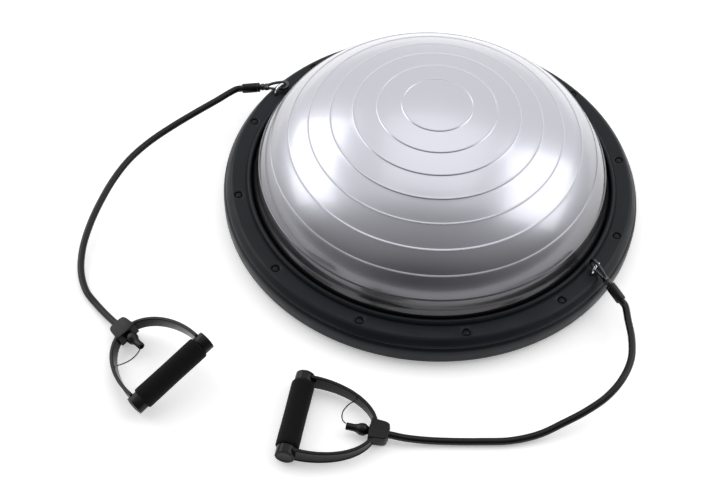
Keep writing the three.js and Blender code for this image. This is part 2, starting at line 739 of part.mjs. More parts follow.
// Each tube leaves its barrel straight, lies round in a wide curve and goes straight in to its hub.
function addTube(side, clip, handle, route) {
  const fromClip = (x) => clip.localToWorld(new THREE.Vector3(x, 0, 0));
  const fromHandle = (x) => handle.localToWorld(new THREE.Vector3(x, 0, 0));
  const points = [
    fromClip(BARREL_END_X - BARREL_POCKET + GAP),
    fromClip(BARREL_END_X),
    fromClip(BARREL_END_X + 8),
    ...route.map((point) => new THREE.Vector3(...point)),
    fromHandle(HUB_OUTER_X + 22),
    fromHandle(HUB_OUTER_X),
    fromHandle(HUB_INNER_X - GAP),
  ];
  const tube = bar(new THREE.CatmullRomCurve3(points), TUBE_RADIUS, TUBE_SIDES, 40);
  addPiece(trainer, `${side}_tube`, tube, tubeRubber);
}

addTube('left', leftClip, leftHandle, [
  [-346, -72, 39.5],
  [-356, -108, 37.3],
  [-366, -147, 34.6],
  [-374, -188, 31.5],
  [-376.5, -230, 28],
  [-371, -272, 24],
  [-360, -313, 19.5],
  [-345.5, -352, 15],
  [-326, -389, 10.8],
  [-301.5, -419, 7.8],
  [-274, -438.5, 6],
  [-248, -446.5, 5.5],
]);
addTube('right', rightClip, rightHandle, [
  [357, -39.5, 39],
  [378, -64, 37.6],
  [394, -92, 35.5],
  [400.5, -125, 32],
  [398, -158, 27.5],
  [387, -190, 21.5],
  [371.5, -220, 14.5],
  [354, -251, 8.6],
  [329.5, -280, 5.8],
  [298, -306, 5.3],
  [268, -329, 5.4],
  [242, -348, 6.5],
]);

export default trainer;
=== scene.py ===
# Balance dome trainer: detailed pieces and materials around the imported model. Sizes below are in
# millimetres and become metres when a mesh is made. +Z is up and the right-hand eye is at +X.
import json
import math
import bmesh
import bpy
import numpy as np
from mathutils import Matrix, Vector


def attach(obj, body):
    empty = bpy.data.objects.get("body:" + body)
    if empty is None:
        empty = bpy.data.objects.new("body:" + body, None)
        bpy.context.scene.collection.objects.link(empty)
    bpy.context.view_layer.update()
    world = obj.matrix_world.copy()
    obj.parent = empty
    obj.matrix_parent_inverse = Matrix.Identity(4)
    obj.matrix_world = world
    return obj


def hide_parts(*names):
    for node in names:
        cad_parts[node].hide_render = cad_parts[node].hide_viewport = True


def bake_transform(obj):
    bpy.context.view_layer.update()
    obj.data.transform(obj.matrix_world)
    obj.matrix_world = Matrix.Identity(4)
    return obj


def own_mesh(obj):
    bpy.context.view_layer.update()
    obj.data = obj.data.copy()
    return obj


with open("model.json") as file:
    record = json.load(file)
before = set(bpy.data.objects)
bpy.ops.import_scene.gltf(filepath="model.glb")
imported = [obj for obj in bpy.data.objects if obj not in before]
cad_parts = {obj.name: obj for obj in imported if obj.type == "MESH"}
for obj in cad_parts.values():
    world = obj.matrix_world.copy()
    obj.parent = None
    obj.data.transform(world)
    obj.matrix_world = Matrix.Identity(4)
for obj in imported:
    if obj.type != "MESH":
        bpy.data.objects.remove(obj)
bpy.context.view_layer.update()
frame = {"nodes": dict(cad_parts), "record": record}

MM = 0.001
SCENE = bpy.context.scene

# ------------------------------------------------------------------ camera

CAMERA_RIGHT = (0.80088, 0.59817, 0.02794)
CAMERA_UP = (-0.47948, 0.61262, 0.62832)
CAMERA_BACK = (0.35872, -0.51661, 0.77745)
CAMERA_PLACE = (0.8499, -1.3959, 1.8883)

camera_data = bpy.data.cameras.new("camera")
camera_data.lens = 85
camera_data.sensor_width = 36
camera = bpy.data.objects.new("camera", camera_data)
SCENE.collection.objects.link(camera)
turn = Matrix((CAMERA_RIGHT, CAMERA_UP, CAMERA_BACK)).transposed().to_4x4()
camera.matrix_world = Matrix.Translation(CAMERA_PLACE) @ turn
SCENE.camera = camera

# ------------------------------------------------------------------ driving dimensions

FASTENER_CIRCLE = 279
SCREW_COUNT = 12
FOOT_COUNT = 6
FOOT_CIRCLE = 236
VALVE_Y = 150
RING_TOP = 46.5
TUBE_RADIUS = 5
HUB_INNER_X = 99
HUB_OUTER_X = 125
BARREL_X = 28.6
BARREL_END_X = 55.6
TAIL_END_X = 68
SOCKET_INNER_Y = 51.5
SOCKET_OUTER_Y = 65.5
EYE_HALF_SPREAD = 9
EYE_SHOULDER_Z = 48.75
WIRE_RADIUS = 2.25
HOOK_BEND_RADIUS = 6.9
PIN_BORE = 1.25
PIN_RADIUS = 0.9
GATE_HALF_THICKNESS = 1.3
GRIP_RADIUS = 15.6
GRIP_HALF_LENGTH = 51
PIN_PLACE = (17, 3.4)
GATE_TIP = (0.9, 6.7)

CLIPS = {
    "left": {"pivot": (-279, 0, 51.2), "pivot_x": -1.5, "heading": 217, "droop": 8, "roll": 0},
    "right": {"pivot": (279, -2.3, 51.8), "pivot_x": -2.1, "heading": -16.5, "droop": 18, "roll": -90},
}
HANDLES = {
    "left": {"centre": (-76.6, -486.2, 36.6), "heading": 167.2, "tilt": 11, "roll": -14.5},
    "right": {"centre": (86.1, -427.9, 16), "heading": 25.8, "tilt": 2.6, "roll": 0},
}
TUBE_ROUTES = {
    "left": [
        (-346, -72, 39.5), (-356, -108, 37.3), (-366, -147, 34.6), (-374, -188, 31.5),
        (-376.5, -230, 28), (-371, -272, 24), (-360, -313, 19.5), (-345.5, -352, 15),
        (-326, -389, 10.8), (-301.5, -419, 7.8), (-274, -438.5, 6), (-248, -446.5, 5.5),
    ],
    "right": [
        (357, -39.5, 39), (378, -64, 37.6), (394, -92, 35.5), (400.5, -125, 32),
        (398, -158, 27.5), (387, -190, 21.5), (371.5, -220, 14.5), (354, -251, 8.6),
        (329.5, -280, 5.8), (298, -306, 5.3), (268, -329, 5.4), (242, -348, 6.5),
    ],
}
TETHER_ROUTES = {
    "left": [(66.8, 3.8, 0), (65.2, 9.5, -1), (65, 17, -2), (66, 25, -2), (68.6, 33.5, -1), (72.5, 41.2, 0)],
    "right": [
        (66.8, 3.8, 0), (62, 8.5, -1), (59.8, 15, -2), (59.8, 22.5, -2),
        (62.6, 30.5, -2), (67, 37, -1), (72.5, 41.2, 0),
    ],
}


def frame_matrix(heading, pitch, roll):
    """Turned about Z, then Y, then X, by angles in degrees."""
    turns = zip((heading, pitch, roll), "ZYX")
    result = Matrix.Identity(4)
    for angle, axis in turns:
        result = result @ Matrix.Rotation(math.radians(angle), 4, axis)
    return result


def clip_matrix(side):
    """The hook's own frame in the object, in millimetres."""
    spec = CLIPS[side]
    turned = frame_matrix(spec["heading"], spec["droop"], spec["roll"])
    offset = turned @ Vector((-spec["pivot_x"], -HOOK_BEND_RADIUS, 0))
    return Matrix.Translation(Vector(spec["pivot"]) + offset) @ turned


def handle_matrix(side):
    spec = HANDLES[side]
    turned = frame_matrix(spec["heading"], spec["tilt"], spec["roll"])
    return Matrix.Translation(Vector(spec["centre"])) @ turned


# ------------------------------------------------------------------ mesh helpers

SHARP_ANGLE = math.radians(38)


def mesh_piece(name, vertices, faces, place=None):
    """A mesh object from millimetre points, its faces turned outwards, smooth but for its sharp edges."""
    if place is not None:
        vertices = [place @ Vector(v) for v in vertices]
    mesh = bpy.data.meshes.new(name)
    mesh.from_pydata([tuple(MM * c for c in v) for v in vertices], [], faces)
    piece = bpy.data.objects.new(name, mesh)
    SCENE.collection.objects.link(piece)
    tidy(piece)
    return piece


def tidy(piece, angle=SHARP_ANGLE):
    mesh = piece.data
    work = bmesh.new()
    work.from_mesh(mesh)
    bmesh.ops.remove_doubles(work, verts=work.verts, dist=1e-7)
    bmesh.ops.recalc_face_normals(work, faces=work.faces)
    work.to_mesh(mesh)
    work.free()
    mesh.polygons.foreach_set("use_smooth", [True] * len(mesh.polygons))
    mesh.set_sharp_from_angle(angle=angle)
    mesh.update()


def softened(points, radius, steps=3, closed=False):
    """The same outline with its corners rounded."""
    result = []
    count = len(points)
    for i, point in enumerate(points):
        if not closed and i in (0, count - 1):
            result.append(tuple(point))
            continue
        here = Vector(point)
        before = Vector(points[i - 1]) - here
        after = Vector(points[(i + 1) % count]) - here
        reach = min(radius, 0.42 * before.length, 0.42 * after.length)
        start = here + before.normalized() * reach
        end = here + after.normalized() * reach
        for k in range(steps + 1):
            t = k / steps
            result.append(tuple((1 - t) ** 2 * start + 2 * t * (1 - t) * here + t * t * end))
    return result


def lathe(name, profile, segments=192, axis="Z", place=None, centre=(0, 0)):
    """A closed turned body from (radius, height) points. A profile off the axis closes on itself."""
    on_axis = profile[0][0] == 0 and profile[-1][0] == 0
    vertices, rings = [], []
    for radius, height in profile:
        if radius == 0:
            rings.append([len(vertices)])
            vertices.append((0, 0, height))
            continue
        rings.append(list(range(len(vertices), len(vertices) + segments)))
        for k in range(segments):
            angle = 2 * math.pi * k / segments
            vertices.append((radius * math.cos(angle), radius * math.sin(angle), height))
    pairs = list(zip(rings, rings[1:]))
    if not on_axis:
        pairs.append((rings[-1], rings[0]))
    faces = []
    for low, high in pairs:
        for k in range(segments):
            n = (k + 1) % segments
            if len(low) == 1 and len(high) == 1:
                continue
            if len(low) == 1:
                faces.append((low[0], high[n], high[k]))
            elif len(high) == 1:
                faces.append((low[k], low[n], high[0]))
            else:
                faces.append((low[k], low[n], high[n], high[k]))
    if axis == "X":
        vertices = [(z, x, y) for x, y, z in vertices]
    elif axis == "Y":
        vertices = [(y, z, x) for x, y, z in vertices]
    vertices = [(x + centre[0], y + centre[1], z) for x, y, z in vertices]
    return mesh_piece(name, vertices, faces, place)


def smooth_path(points, spacing=2.0):
    """A centripetal Catmull-Rom curve through the points, sampled about every so many millimetres."""
    points = np.array(points, float)
    ends = [2 * points[0] - points[1], 2 * points[-1] - points[-2]]
    points = np.vstack([ends[0], points, ends[1]])
    result = []
    for i in range(1, len(points) - 2):
        p = points[i - 1:i + 3]
        knots = np.concatenate([[0], np.cumsum(np.sqrt(np.linalg.norm(np.diff(p, axis=0), axis=1)))])
        count = max(2, int(np.linalg.norm(p[2] - p[1]) / spacing))
        for t in np.linspace(knots[1], knots[2], count, endpoint=False):
            rows = p
            for level in range(1, 4):
                if level < 3:
                    spans = [(knots[k], knots[k + level]) for k in range(4 - level)]
                else:
                    spans = [(knots[1], knots[2])]
                rows = [
                    ((b - t) * rows[k] + (t - a) * rows[k + 1]) / (b - a)
                    for k, (a, b) in enumerate(spans)
                ]
            result.append(rows[0])
    result.append(points[-2])
    return np.array(result)


def path_frames(path):
    """Tangents and two turning-free cross directions along a path."""
    tangents = np.gradient(path, axis=0)
    tangents /= np.linalg.norm(tangents, axis=1)[:, None]
    side = np.cross(tangents[0], (0.0, 0.0, 1.0))
    if np.linalg.norm(side) < 0.1:
        side = np.cross(tangents[0], (0.0, 1.0, 0.0))
    sides, ups = [], []
    for tangent in tangents:
        side = side - tangent * np.dot(side, tangent)
        side = side / np.linalg.norm(side)
        sides.append(side)
        ups.append(np.cross(tangent, side))
    return tangents, np.array(sides), np.array(ups)


def sweep(name, path, section, place=None):
    """A closed body along a path. section(i) gives the (side, up) points of a cross section."""
    path = np.array(path, float)
    _, sides, ups = path_frames(path)
    vertices, rings = [], []
    for i, point in enumerate(path):
        start = len(vertices)
        vertices += [point + a * sides[i] + b * ups[i] for a, b in section(i)]
        rings.append(range(start, len(vertices)))
    faces = []
    for low, high in zip(rings, rings[1:]):
        size = len(low)
        faces += [(low[k], low[(k + 1) % size], high[(k + 1) % size], high[k]) for k in range(size)]
    faces.append(tuple(reversed(rings[0])))
    faces.append(tuple(rings[-1]))
    return mesh_piece(name, vertices, faces, place)


def circle(radius, sides=24):
    outline = [(radius * math.cos(2 * math.pi * k / sides), radius * math.sin(2 * math.pi * k / sides))
               for k in range(sides)]
    return lambda i: outline


def prism(name, outline, low, high, place=None):
    """An upright body of an (x, y) outline."""
    size = len(outline)
    vertices = [(x, y, low) for x, y in outline] + [(x, y, high) for x, y in outline]
    faces = [tuple(reversed(range(size))), tuple(range(size, 2 * size))]
    faces += [(k, (k + 1) % size, size + (k + 1) % size, size + k) for k in range(size)]
    return mesh_piece(name, vertices, faces, place)


def applied(piece, angle=SHARP_ANGLE):
    """Turns a piece's modifiers into its mesh."""
    depsgraph = bpy.context.evaluated_depsgraph_get()
    mesh = bpy.data.meshes.new_from_object(piece.evaluated_get(depsgraph))
    piece.modifiers.clear()
    old = piece.data
    piece.data = mesh
    mesh.name = piece.name
    bpy.data.meshes.remove(old)
    tidy(piece, angle)
    return piece


def bevelled(piece, width, segments=2, angle=30):
    modifier = piece.modifiers.new("bevel", "BEVEL")
    modifier.width = width * MM
    modifier.segments = segments
    modifier.limit_method = "ANGLE"
    modifier.angle_limit = math.radians(angle)
    return applied(piece)


def combined(piece, tool, operation):
    """Joins or cuts with another body, which is used up."""
    modifier = piece.modifiers.new("combine", "BOOLEAN")
    modifier.operation = operation
    modifier.solver = "EXACT"
    modifier.object = tool
    applied(piece)
    bpy.data.objects.remove(tool, do_unlink=True)
    return piece


def merged(name, pieces):
    """Several bodies as one mesh object."""
    work = bmesh.new()
    for piece in pieces:
        work.from_mesh(piece.data)
    target = pieces[0]
    work.to_mesh(target.data)
    work.free()
    for piece in pieces[1:]:
        bpy.data.objects.remove(piece, do_unlink=True)
    target.name = name
    target.data.name = name
    return target


# ------------------------------------------------------------------ materials

class Nodes:
    """Short calls for building one material's node tree."""

    def __init__(self, name, roughness=0.5, metallic=0.0, specular=0.5):
        self.material = bpy.data.materials.new(name)
        self.material.use_nodes = True
        self.tree = self.material.node_tree
        self.shader = self.tree.nodes["Principled BSDF"]
        self.shader.inputs["Roughness"].default_value = roughness
        self.shader.inputs["Metallic"].default_value = metallic
        self.shader.inputs["Specular IOR Level"].default_value = specular
        self.place = self.node("ShaderNodeTexCoord").outputs["Object"]

    def node(self, kind, **values):
        node = self.tree.nodes.new(kind)
        for key, value in values.items():
            setattr(node, key, value)
        return node

    def link(self, output, target):
        self.tree.links.new(output, target)

    def set(self, socket, value):
        self.shader.inputs[socket].default_value = value

    def stretched(self, scale):
        mapping = self.node("ShaderNodeMapping")
        mapping.inputs["Scale"].default_value = scale
        self.link(self.place, mapping.inputs["Vector"])
        return mapping.outputs["Vector"]

    def noise(self, scale, detail=3.0, vector=None, rough=0.5):
        noise = self.node("ShaderNodeTexNoise")
        noise.inputs["Scale"].default_value = scale
        noise.inputs["Detail"].default_value = detail
        noise.inputs["Roughness"].default_value = rough
        self.link(self.place if vector is None else vector, noise.inputs["Vector"])
        return noise.outputs["Fac"]

    def cells(self, scale):
        cells = self.node("ShaderNodeTexVoronoi")
        cells.inputs["Scale"].default_value = scale
        self.link(self.place, cells.inputs["Vector"])
        return cells.outputs["Distance"]

    def mapped(self, value, low, high, out_low, out_high):
        node = self.node("ShaderNodeMapRange")
        limits = {"From Min": low, "From Max": high, "To Min": out_low, "To Max": out_high}
        for socket, number in limits.items():
            node.inputs[socket].default_value = number
        self.link(value, node.inputs["Value"])
        return node.outputs["Result"]

    def ramp(self, value, stops):
        node = self.node("ShaderNodeValToRGB")
        elements = node.color_ramp.elements
        elements[0].position, elements[0].color = stops[0][0], (*stops[0][1], 1)
        elements[1].position, elements[1].color = stops[-1][0], (*stops[-1][1], 1)
        for position, color in stops[1:-1]:
            elements.new(position).color = (*color, 1)
        self.link(value, node.inputs["Fac"])
        return node.outputs["Color"]

    def mixed(self, fac, first, second):
        node = self.node("ShaderNodeMix", data_type="RGBA")
        for socket, value in ((6, first), (7, second)):
            if isinstance(value, tuple):
                node.inputs[socket].default_value = (*value, 1)
            else:
                self.link(value, node.inputs[socket])
        self.link(fac, node.inputs[0])
        return node.outputs[2]

    def colour(self, output):
        self.link(output, self.shader.inputs["Base Color"])

    def roughness(self, output):
        self.link(output, self.shader.inputs["Roughness"])

    def bump(self, height, strength, distance, before=None):
        node = self.node("ShaderNodeBump")
        node.inputs["Strength"].default_value = strength
        node.inputs["Distance"].default_value = distance
        self.link(height, node.inputs["Height"])
        if before is not None:
            self.link(before, node.inputs["Normal"])
        return node.outputs["Normal"]

    def normal(self, output):
        self.link(output, self.shader.inputs["Normal"])


def scaled(color, amount):
    return tuple(amount * c for c in color)


GRAIN_DEPTH = 0.00005


def moulded(name, color, roughness, grain=1400, spread=0.07, coat=0.0, specular=0.2):
    """Moulded plastic or rubber: a fine grain, faint tone changes and lighter worn edges."""
    n = Nodes(name, roughness, 0.0, specular)
    tone = n.noise(9, 4)
    shade = n.ramp(tone, [(0.3, scaled(color, 0.86)), (0.5, color), (0.7, scaled(color, 1.16))])
    edge = n.node("ShaderNodeNewGeometry").outputs["Pointiness"]
    worn = n.mapped(edge, 0.52, 0.6, 0.0, 0.55)
    n.colour(n.mixed(worn, shade, scaled(color, 2.4)))
    smear = n.noise(34, 4, rough=0.6)
    n.roughness(n.mapped(smear, 0.3, 0.7, roughness - spread, roughness + spread))
    skin = n.bump(n.noise(grain, 2), 0.5, GRAIN_DEPTH)
    n.normal(n.bump(n.noise(22, 3), 0.18, 0.0006, skin))
    if coat:
        n.set("Coat Weight", coat)
        n.set("Coat Roughness", 0.2)
    return n.material


def metal(name, color, roughness, scratch=(60, 60, 900), strength=0.12):
    """Plated or brushed metal with fine lengthwise scratches and dulled patches."""
    n = Nodes(name, roughness, 1.0)
    line = n.noise(1, 3, n.stretched(scratch))
    n.colour(n.ramp(line, [(0.25, scaled(color, 0.88)), (0.75, color)]))
    n.roughness(n.mapped(n.noise(70, 4), 0.3, 0.7, roughness * 0.75, roughness * 1.5))
    n.normal(n.bump(line, strength, 0.00004))
    return n.material


def membrane():
    """The dome's skin: pearly soft vinyl, darker towards its foot. The darkening is mostly painted shade for
    the dimly lit lower dome, and a little the deeper tone of the vinyl where it is stretched least.
    """
    n = Nodes("silver_membrane", 0.29, 0.8, 0.5)
    base = (0.6, 0.6, 0.665)
    axes = n.node("ShaderNodeSeparateXYZ")
    n.link(n.place, axes.inputs[0])
    # Painted shade: the base colour is darkened by height, down to 0.08 of itself at the foot, and a little
    # noise moves where the change happens.
    drift = n.mapped(n.noise(2.4, 2), 0.3, 0.7, -0.006, 0.006)
    level = n.node("ShaderNodeMath", operation="ADD")
    n.link(axes.outputs["Z"], level.inputs[0])
    n.link(drift, level.inputs[1])
    height = n.mapped(level.outputs[0], 0.05, 0.2, 0, 1)
    tones = ((0.1, 0.08), (0.36, 0.42), (0.6, 0.92), (1, 1))
    n.colour(n.ramp(height, [(share, scaled(base, amount)) for share, amount in tones]))
    n.roughness(n.mapped(n.noise(11, 4), 0.3, 0.7, 0.275, 0.305))
    n.set("Coat Weight", 1.0)
    n.set("Coat Roughness", 0.1)
    return n.material


def foam_skin():
    """Closed-cell foam: small open pits in a skin that scatters light softly."""
    n = Nodes("foam", 0.92, 0.0, 0.12)
    pits = n.cells(620)
    fine = n.noise(1700, 3)
    tones = [(0.05, (0.002, 0.002, 0.0022)), (0.4, (0.004, 0.004, 0.0045)), (0.8, (0.0065, 0.0065, 0.007))]
    shade = n.ramp(pits, tones)
    n.colour(n.mixed(n.mapped(fine, 0.4, 0.75, 0.0, 0.5), shade, (0.009, 0.009, 0.01)))
    n.roughness(n.mapped(fine, 0.3, 0.7, 0.84, 0.98))
    low = n.bump(pits, 0.6, 0.0005)
    n.normal(n.bump(fine, 0.5, 0.0002, low))
    n.set("Sheen Weight", 0.06)
    n.set("Sheen Roughness", 0.5)
    return n.material


def braid():
    """A woven cord: two crossing sets of strands."""
    n = Nodes("cord_fabric", 0.85, 0.0, 0.3)
    strands = []
    for lean in (1, -1):
        wave = n.node("ShaderNodeTexWave", wave_type="BANDS", bands_direction="DIAGONAL")
        wave.inputs["Scale"].default_value = 420
        wave.inputs["Distortion"].default_value = 0.6
        n.link(n.stretched((lean, 1, 1)), wave.inputs["Vector"])
        strands.append(wave.outputs["Fac"])
    both = n.node("ShaderNodeMath", operation="MAXIMUM")
    n.link(strands[0], both.inputs[0])
    n.link(strands[1], both.inputs[1])
    n.colour(n.ramp(both.outputs[0], [(0.2, (0.002, 0.002, 0.002)), (0.9, (0.008, 0.008, 0.009))]))
    n.normal(n.bump(both.outputs[0], 0.7, 0.0002))
    return n.material


def tube_skin():
    """Dipped latex tube: satin, with faint tone changes, a fine bumpy skin and a few dusty spots."""
    n = Nodes("tube_rubber", 0.26, 0.0, 0.3)
    color = (0.0032, 0.0032, 0.0037)
    dust = n.mapped(n.noise(260, 4, rough=0.7), 0.62, 0.8, 0.0, 0.4)
    tone = n.ramp(n.noise(12, 3), [(0.3, scaled(color, 0.8)), (0.7, scaled(color, 1.3))])
    n.colour(n.mixed(dust, tone, (0.012, 0.012, 0.013)))
    n.roughness(n.mapped(n.noise(45, 4), 0.3, 0.7, 0.22, 0.34))
    n.normal(n.bump(n.noise(520, 3), 0.3, 0.00008))
    return n.material


MATERIALS = {
    "charcoal_plastic": moulded("charcoal_plastic", (0.0088, 0.0106, 0.0142), 0.4),
    "silver_membrane": membrane(),
    "floor_sheet": moulded("floor_sheet", (0.25, 0.25, 0.27), 0.6),
    "black_rubber": moulded("black_rubber", (0.005, 0.005, 0.0056), 0.42, grain=900),
    "tube_rubber": tube_skin(),
    "chrome_plate": metal("chrome_plate", (0.82, 0.83, 0.85), 0.12, strength=0.04),
    "zinc_plate": metal("zinc_plate", (0.5, 0.51, 0.52), 0.38),
    "gunmetal": metal("gunmetal", (0.085, 0.088, 0.096), 0.27),
    "barrel_plastic": moulded("barrel_plastic", (0.0028, 0.0028, 0.0032), 0.22, spread=0.04, specular=0.3),
    "handle_plastic": moulded("handle_plastic", (0.0035, 0.0038, 0.0046), 0.24, spread=0.04, specular=0.22),
    "foam": foam_skin(),
    "cord_fabric": braid(),
}


def finish(piece, slot, body=None, replaces=()):
    """Gives a piece its material and its body, and hides the CAD nodes that it stands for."""
    piece.data.materials.clear()
    piece.data.materials.append(MATERIALS[slot])
    for polygon in piece.data.polygons:
        polygon.material_index = 0
    if body is not None:
        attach(piece, body)
    if replaces:
        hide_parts(*replaces)
    return piece


# ------------------------------------------------------------------ base tray, feet and valve

TRAY_OUTSIDE = [(284, 8), (286.5, 4), (296, 4), (299.4, 8.5), (300, 24), (299, 30), (296, 33)]


def around(count, radius, start=0.0):
    for k in range(count):
        angle = start + 2 * math.pi * k / count
        yield k + 1, radius * math.cos(angle), radius * math.sin(angle)


tray_profile = [(0, 0), (41, 0), (42, 0.6), (45, 8)]
for rib_radius in (96, 150, 204):
    tray_profile += [(rib_radius - 3, 8), (rib_radius - 2, 6.6), (rib_radius + 2, 6.6), (rib_radius + 3, 8)]
tray_profile += softened([(262, 8), *TRAY_OUTSIDE, (290.6, 33), (294.6, 28), (295.8, 24), (293, 14)], 2.2, 3)
tray_profile += [(268, 14), (268, 26), (264, 26), (264, 14), (0, 14)]
tray = lathe("base_tray_detail", tray_profile)
combined(tray, lathe("valve_hole", [(0, 0), (9, 0), (9, 20), (0, 20)], 48, centre=(0, VALVE_Y)), "DIFFERENCE")
finish(tray, "charcoal_plastic", "root", ["base_tray"])

foot_profile = [(0, 0.9), (4, 0.9), (5, 0)]
for groove in (8, 11.5):
    foot_profile += [(groove - 0.9, 0), (groove - 0.4, 0.8), (groove + 0.4, 0.8), (groove + 0.9, 0)]
foot_profile += [(14.4, 0), (16, 0.7), (16.9, 2), (17, 6.6), (16.4, 7.6), (3.6, 7.7), (3.6, 12), (0, 12)]
for number, x, y in around(FOOT_COUNT, FOOT_CIRCLE, math.pi / 2):
    foot = lathe(f"foot_detail_{number:02d}", foot_profile, 64, centre=(x, y))
    finish(foot, "black_rubber", "root", [f"foot_{number:02d}"])

seat_profile = [
    (4, 6), (10.6, 6), (12, 6.8), (12, 7.7), (8.4, 7.7), (8.4, 16.6), (12, 16.6), (11, 18.3), (4, 18.3),
]
seat = lathe("valve_seat_detail", seat_profile, 64, centre=(0, VALVE_Y))
finish(seat, "black_rubber", "root", ["valve_seat"])
plug_profile = [
    (0, 2.9), (2.4, 2.9), (3, 2), (7, 2), (8.2, 2.6), (8.5, 3.6), (8.3, 5.2), (7.6, 5.7),
    (3.7, 5.7), (3.5, 9), (3.75, 10), (3.4, 11), (3.2, 16), (2.4, 17), (0, 17),
]
plug = lathe("valve_plug_detail", plug_profile, 64, centre=(0, VALVE_Y))
finish(plug, "tube_rubber", "plug", ["valve_plug"])

# ------------------------------------------------------------------ clamp ring and its screws

ring_outline = [
    (292, 33.3), (296.2, 33.3), (296.6, 35), (295, 38.4), (290.4, 44.4), (286.6, RING_TOP),
    (268.2, RING_TOP), (266.8, 45.9), (265.9, 50.2), (264.3, 52.2), (261.9, 52.7), (260, 51.6),
    (259.2, 49.5), (259.2, 31.9), (266.5, 31.9), (268, 43.5), (286, 43.5),
]
ring = lathe("clamp_ring_detail", softened(ring_outline, 1.1, 3, closed=True))
pocket_profile = [
    (0, 42.9), (5.5, 42.9), (5.5, RING_TOP - 1.2), (6, RING_TOP - 0.5), (7, RING_TOP - 0.1),
    (7.6, RING_TOP + 0.2), (7.6, 48), (0, 48),
]
ring_tools = []
for number, x, y in around(SCREW_COUNT, FASTENER_CIRCLE, math.pi / SCREW_COUNT):
    ring_tools.append(lathe(f"pocket_{number}", pocket_profile, 40, centre=(x, y)))
for x in (-FASTENER_CIRCLE, FASTENER_CIRCLE):
    for y in (-EYE_HALF_SPREAD, EYE_HALF_SPREAD):
        hole = [(0, 40), (2.7, 40), (2.7, RING_TOP - 0.3), (3.1, RING_TOP + 0.2), (3.1, 48), (0, 48)]
        ring_tools.append(lathe(f"eye_hole_{x}_{y}", hole, 24, centre=(x, y)))
combined(ring, merged("ring_tools", ring_tools), "DIFFERENCE")
finish(ring, "charcoal_plastic", "root", ["clamp_ring"])

screw_profile = [
    (0, 19), (1.6, 19), (1.9, 19.6), (1.9, 43.2), (4.9, 43.2), (5.1, 43.6), (5, 44.5), (4.5, 45.2),
    (3.5, 45.8), (2, 46.15), (0.8, 46.25), (0, 46.25),
]
for number, x, y in around(SCREW_COUNT, FASTENER_CIRCLE, math.pi / SCREW_COUNT):
    screw = lathe(f"rim_screw_detail_{number:02d}", screw_profile, 48, centre=(x, y))
    finish(screw, "black_rubber", "root", [f"rim_screw_{number:02d}"])

# ------------------------------------------------------------------ dome

DOME_TOP = 200
DOME_WAIST = 55.3
DOME_HALF_WIDTH = 251.6
DOME_FULLNESS = 1.036
DOME_END = math.radians(84.5)
DOME_WALL = 3
RIDGE_RADII = (49.2, 83.1, 116.1, 148.0, 178.5, 206.8, 231.2, 248.0)
RIDGE_HEIGHT = 0.9
RIDGE_HALF_WIDTH = 1.25


def dome_curve(inset, angles):
    """(radius, height) on the curved cap, a wall's thickness further in, at angles from its top."""
    half_width = DOME_HALF_WIDTH - inset
    half_height = DOME_TOP - DOME_WAIST - inset
    return [
        (half_width * math.sin(a) ** DOME_FULLNESS, DOME_WAIST + half_height * math.cos(a) ** DOME_FULLNESS)
        for a in angles
    ]


def dome_outside():
    """From the skirt up to the top, with the raised rings on it."""
    angles = set(np.linspace(DOME_END, 0, 80))
    lifts = {}
    for ridge_radius in RIDGE_RADII:
        centre = math.asin((ridge_radius / DOME_HALF_WIDTH) ** (1 / DOME_FULLNESS))
        pace = math.hypot(DOME_HALF_WIDTH * math.cos(centre), (DOME_TOP - DOME_WAIST) * math.sin(centre))
        angles = {a for a in angles if abs(a - centre) * pace > 2.4 * RIDGE_HALF_WIDTH}
        for share in (-1.5, -1.15, -0.85, -0.55, -0.25, 0, 0.25, 0.55, 0.85, 1.15, 1.5):
            angle = centre + share * RIDGE_HALF_WIDTH / pace
            angles.add(angle)
            lifts[angle] = RIDGE_HEIGHT * math.exp(-(share / 0.62) ** 2)
    points = []
    for angle in sorted(angles, reverse=True):
        radius, height = dome_curve(0, [angle])[0]
        slope = Vector((math.sin(angle) / DOME_HALF_WIDTH, math.cos(angle) / (DOME_TOP - DOME_WAIST)))
        out = slope.normalized() * lifts.get(angle, 0.0)
        points.append((0 if angle == 0 else radius + out.x, height + out.y))
    return points


dome_profile = list(reversed(dome_curve(DOME_WALL, np.linspace(DOME_END, 0, 24))))
dome_profile[0] = (0, dome_profile[0][1])
skirt = [
    (249.2, 60), (252.6, 52.5), (253, 48), (253, 28.6), (271.5, 28.6), (271.5, 31.6), (256, 31.6),
    (256, 46), (256.4, 50), (255.2, 53.8), (252.4, 60), (251.2, 64),
]
dome_profile += softened(skirt, 3, 4) + dome_outside()
dome = lathe("dome_detail", dome_profile, 256)
finish(dome, "silver_membrane", "dome_membrane", ["dome"])
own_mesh(dome)

# ------------------------------------------------------------------ eyes, clips, handles and tubes


def plate_outline(first, second, first_radius, second_radius, steps=14):
    """A long outline with a round end about each of two points."""
    lean = math.atan2(first[1] - second[1], first[0] - second[0])
    outline = []
    ends = ((first, first_radius, lean - math.pi / 2), (second, second_radius, lean + math.pi / 2))
    for centre, radius, start in ends:
        for k in range(steps + 1):
            angle = start + math.pi * k / steps
            outline.append((centre[0] + radius * math.cos(angle), centre[1] + radius * math.sin(angle)))
    return outline


def box(name, low, high, place=None):
    outline = [(low[0], low[1]), (high[0], low[1]), (high[0], high[1]), (low[0], high[1])]
    return prism(name, outline, low[2], high[2], place)


def make_eye(side, x):
    legs = (37, 41, 45)
    reach = EYE_HALF_SPREAD
    points = [(x, -reach, z) for z in legs]
    arch = np.linspace(0, math.pi, 13)
    points += [(x, -reach * math.cos(a), EYE_SHOULDER_Z + reach * math.sin(a)) for a in arch]
    points += [(x, reach, z) for z in reversed(legs)]
    eye = sweep(f"{side}_eye_detail", smooth_path(points, 0.7), circle(WIRE_RADIUS, 20))
    finish(eye, "chrome_plate", "root", [f"{side}_eye"])


